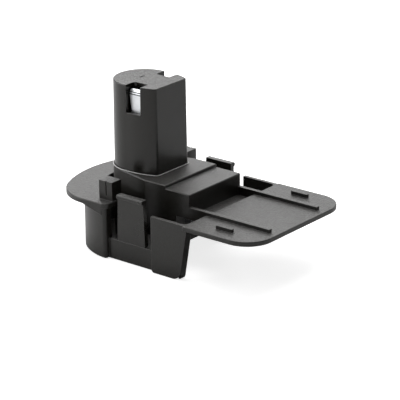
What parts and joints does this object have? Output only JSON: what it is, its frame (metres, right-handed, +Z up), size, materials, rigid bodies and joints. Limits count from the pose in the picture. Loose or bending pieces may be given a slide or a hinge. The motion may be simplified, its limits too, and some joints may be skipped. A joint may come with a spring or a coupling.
{
  "type": "tool battery adapter",
  "caption": "Adapter that slides onto a rail-type tool battery and plugs its D-shaped stem, with two spring contacts, into a stem-type cordless tool.",
  "frame": {"origin": "centre of the bounding box's footprint, on the plane the adapter rests on", "axes": "+X from the rear flange towards the free end of the deck, along which the battery slides in; +Y to the left latch; +Z up, along the stem"},
  "size_m": [0.1412, 0.0806, 0.0879],
  "materials": {
    "housing_plastic": "black moulded nylon, fine spark-eroded texture",
    "stem_plastic": "black moulded nylon, slightly smoother texture",
    "latch_plastic": "black moulded acetal, satin",
    "insulator_plastic": "black glass-filled insulator, dull",
    "contact_nickel": "nickel-plated spring bronze, satin",
    "terminal_tin": "tin-plated copper blade",
    "board_laminate": "green solder mask on glass laminate",
    "resistor_ceramic": "black-coated ceramic chip with tinned ends",
    "lead_red": "red PVC insulation",
    "lead_black": "black PVC insulation",
    "sleeve_shrink": "black shrink sleeve",
    "screw_steel": "zinc-plated pan-head screw"
  },
  "bodies": {
    "adapter": {"upper_housing": "housing_plastic", "rear_tub": "housing_plastic", "stem_housing": "stem_plastic", "contact_carrier": "insulator_plastic", "contact_base_left": "contact_nickel", "contact_base_right": "contact_nickel", "terminal_block": "insulator_plastic", "terminal_positive": "terminal_tin", "terminal_negative": "terminal_tin", "terminal_sense": "terminal_tin", "circuit_board": "board_laminate", "sense_resistor": "resistor_ceramic", "lead_positive": "lead_red", "lead_negative": "lead_black", "sleeves_positive": "sleeve_shrink", "sleeves_negative": "sleeve_shrink", "housing_screws": "screw_steel", "stem_screws": "screw_steel", "board_screws": "screw_steel"},
    "left_latch": {"latch_left": "latch_plastic"},
    "right_latch": {"latch_right": "latch_plastic"},
    "left_leaf": {"contact_leaf_left": "contact_nickel"},
    "right_leaf": {"contact_leaf_right": "contact_nickel"}
  },
  "joints": [
    {"name": "latch_left_flex", "type": "hinge", "parent": "adapter", "child": "left_latch", "pos_m": [-0.0108, 0.0374, 0.0112], "axis": [1, 0, 0], "range_deg": [0, 5.5], "stiffness_Nm_per_rad": 3.5},
    {"name": "latch_right_flex", "type": "hinge", "parent": "adapter", "child": "right_latch", "pos_m": [-0.0108, -0.0374, 0.0112], "axis": [-1, 0, 0], "range_deg": [0, 5.5], "stiffness_Nm_per_rad": 3.5},
    {"name": "leaf_left_flex", "type": "hinge", "parent": "adapter", "child": "left_leaf", "pos_m": [-0.0266, 0.0129, 0.0725], "axis": [1, 0, 0], "range_deg": [0, 4], "stiffness_Nm_per_rad": 0.7},
    {"name": "leaf_right_flex", "type": "hinge", "parent": "adapter", "child": "right_leaf", "pos_m": [-0.0266, -0.0129, 0.0725], "axis": [-1, 0, 0], "range_deg": [0, 4], "stiffness_Nm_per_rad": 0.7}
  ]
}
